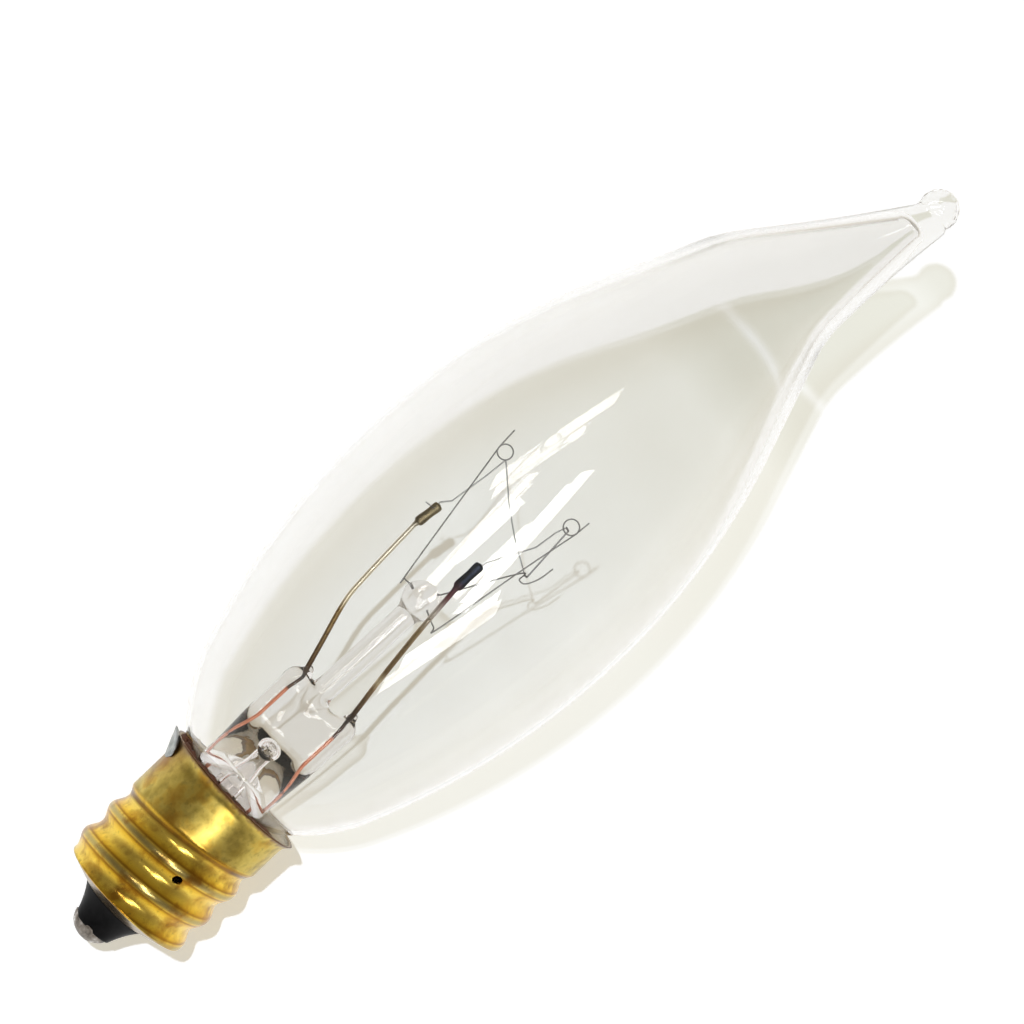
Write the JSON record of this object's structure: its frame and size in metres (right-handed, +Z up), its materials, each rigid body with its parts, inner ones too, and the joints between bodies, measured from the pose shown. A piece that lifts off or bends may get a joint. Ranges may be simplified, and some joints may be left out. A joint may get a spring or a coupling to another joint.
{
  "type": "candle bulb",
  "caption": "Clear flame-shaped candle bulb with a bent tip, a wire filament on a glass stem and a brass candelabra screw base, lying on its side.",
  "frame": {"origin": "middle of the lying bulb's outline, on the surface that it lies on", "axes": "+X along the bulb from its contact to its tip, +Y to the side away from the tip's bend, +Z up"},
  "size_m": [0.0854, 0.0263, 0.0286],
  "materials": {
    "clear_glass": "clear blown glass, polished",
    "stem_glass": "clear lead glass, pressed and fire polished",
    "black_glass": "black insulating glass, moulded",
    "brass": "rolled sheet brass, worn and lightly tarnished",
    "eyelet_brass": "tinned brass",
    "solder": "dull soft solder",
    "copper_clad": "copper-clad wire, reddened in the seal",
    "nickel_wire": "drawn wire, dulled",
    "molybdenum": "drawn fine wire",
    "tungsten": "coiled tungsten wire, grey",
    "cement": "baked basing cement"
  },
  "bodies": {
    "root": {"glass_envelope": "clear_glass", "stem_flare": "stem_glass", "exhaust_tube": "stem_glass", "arbor_rod": "stem_glass", "inner_lead_left": "nickel_wire", "inner_lead_right": "nickel_wire", "seal_wire_left": "copper_clad", "seal_wire_right": "copper_clad", "outer_lead_left": "copper_clad", "outer_lead_right": "copper_clad", "filament_support_1": "molybdenum", "filament_support_2": "molybdenum", "filament_support_3": "molybdenum", "filament": "tungsten", "base_shell": "brass", "base_insulator": "black_glass", "contact_eyelet": "eyelet_brass", "tip_solder": "solder", "side_solder": "solder", "basing_cement": "cement"}
  },
  "joints": []
}
